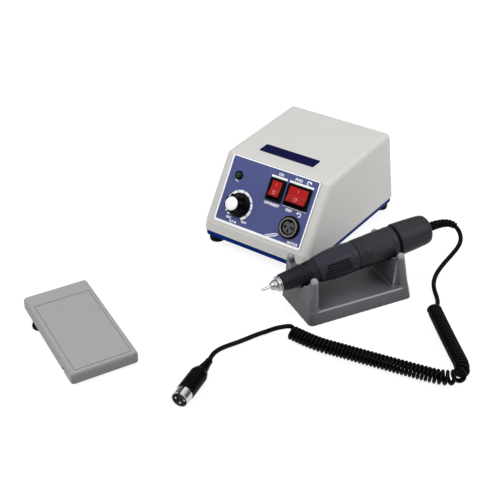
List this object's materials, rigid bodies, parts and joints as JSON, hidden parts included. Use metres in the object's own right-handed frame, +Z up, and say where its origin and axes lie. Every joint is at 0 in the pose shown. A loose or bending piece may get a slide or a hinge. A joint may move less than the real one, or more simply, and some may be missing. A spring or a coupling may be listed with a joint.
{
  "type": "dental laboratory micromotor set",
  "caption": "Bench micromotor set: sloping-front control unit with rockers and speed knob, motor handpiece on its cradle, curly cord with round plug, and foot pedal.",
  "frame": {"origin": "on the table, under the centre of the set's bounding box measured without the cord and its plug", "axes": "+Z up, the control unit faces -Y, +X to the unit's right where the handpiece lies"},
  "size_m": [0.3314, 0.3774, 0.0822],
  "materials": {
    "cover_plastic": "fine satin grain",
    "tray_blue": "satin paint",
    "rubber_grey": "matt",
    "rubber_black": "satin",
    "steel": "turned",
    "bright": "polished",
    "overlay_film": "smooth film",
    "black_plastic": "moulded",
    "grey_moulding": "moulded",
    "lamp_green": "clear",
    "rocker_red": "moulded",
    "white_plastic": "smooth",
    "core_steel": "laminated",
    "copper": "wound wire",
    "board": "laminate",
    "board_parts": "sleeved",
    "cradle_grey": "fine grain",
    "handpiece_grey": "anodised satin",
    "magnet": "ground",
    "holder": "moulded",
    "carbon": "pressed carbon",
    "pedal_grey": "fine grain",
    "pedal_dark": "moulded"
  },
  "bodies": {
    "set": {"cover": "cover_plastic", "base_tray": "tray_blue", "rubber_feet": "rubber_grey", "base_screws": "steel", "panel_overlay": "overlay_film", "lamp_bezel": "black_plastic", "pilot_lamp": "lamp_green", "power_switch": "black_plastic", "direction_switch": "black_plastic", "motor_socket": "black_plastic", "socket_core": "grey_moulding", "speed_control": "core_steel", "control_nut": "steel", "transformer_core": "core_steel", "transformer_winding": "copper", "circuit_board": "board", "board_parts": "board_parts", "mains_bush": "rubber_black", "fuse_holder": "black_plastic", "pedal_jack": "steel", "cradle": "cradle_grey", "nose_cap": "steel", "front_sleeve": "handpiece_grey", "motor_housing": "handpiece_grey", "rear_cap": "handpiece_grey", "cord_boot": "rubber_black", "spindle_bearings": "steel", "motor_bearings": "steel", "field_magnets": "magnet", "brush_holder": "holder", "carbon_brushes": "carbon", "brush_springs": "steel", "cord_lead_handpiece": "rubber_black", "cord_curls": "rubber_black", "cord_lead_plug": "rubber_black", "plug_body": "black_plastic", "plug_shell": "bright", "plug_core": "black_plastic", "plug_pins": "bright", "pedal_base": "pedal_dark", "pedal_feet": "rubber_black", "pedal_pin": "steel", "pedal_switch": "pedal_dark", "pedal_spring": "steel"},
    "knob": {"speed_knob": "black_plastic", "knob_cap": "white_plastic", "control_shaft": "steel"},
    "power_key": {"power_rocker": "rocker_red"},
    "direction_key": {"direction_rocker": "rocker_red"},
    "rotor": {"spindle": "steel", "drive_coupling": "copper", "motor_shaft": "steel", "armature": "copper", "commutator": "copper"},
    "chuck": {"chuck_ring": "handpiece_grey"},
    "collet_set": {"collet": "steel", "tool": "bright"},
    "pedal": {"pedal_tread": "pedal_grey"},
    "plunger": {"pedal_plunger": "rocker_red"}
  },
  "joints": [
    {"name": "knob_turn", "type": "hinge", "parent": "set", "child": "knob", "pos_m": [-0.04796, 0.04301, 0.0407], "axis": [0, 0.8499, -0.527], "range_deg": [0, 300]},
    {"name": "power_rock", "type": "hinge", "parent": "set", "child": "power_key", "pos_m": [-0.01716, 0.05744, 0.05905], "axis": [1, 0, 0], "range_deg": [0, 18]},
    {"name": "direction_rock", "type": "hinge", "parent": "set", "child": "direction_key", "pos_m": [0.00524, 0.05744, 0.05905], "axis": [1, 0, 0], "range_deg": [0, 18]},
    {"name": "spindle_spin", "type": "hinge", "parent": "set", "child": "rotor", "pos_m": [0.06811, 0.02164, 0.03755], "axis": [0.487, 0.8661, 0.1123], "continuous": true},
    {"name": "chuck_turn", "type": "hinge", "parent": "set", "child": "chuck", "pos_m": [0.06811, 0.02164, 0.03755], "axis": [0.487, 0.8661, 0.1123], "range_deg": [0, 40]},
    {"name": "collet_release", "type": "slide", "parent": "rotor", "child": "collet_set", "axis": [-0.487, -0.8661, -0.1123], "range_m": [0, 0.0012]},
    {"name": "pedal_press", "type": "hinge", "parent": "set", "child": "pedal", "pos_m": [-0.038, -0.15767, 0.005], "axis": [-0.4171, -0.9089, 0], "range_deg": [0, 3.2], "stiffness_Nm_per_rad": 2, "springref_deg": -3.44, "deforming": ["pedal_spring"]},
    {"name": "plunger_press", "type": "slide", "parent": "set", "child": "plunger", "axis": [0, 0, -1], "range_m": [0, 0.0022]}
  ],
  "couplings": [
    {"joint": "collet_release", "follows": "chuck_turn", "m_per_rad": 0.001718},
    {"joint": "plunger_press", "follows": "pedal_press", "m_per_rad": 0.0376}
  ]
}
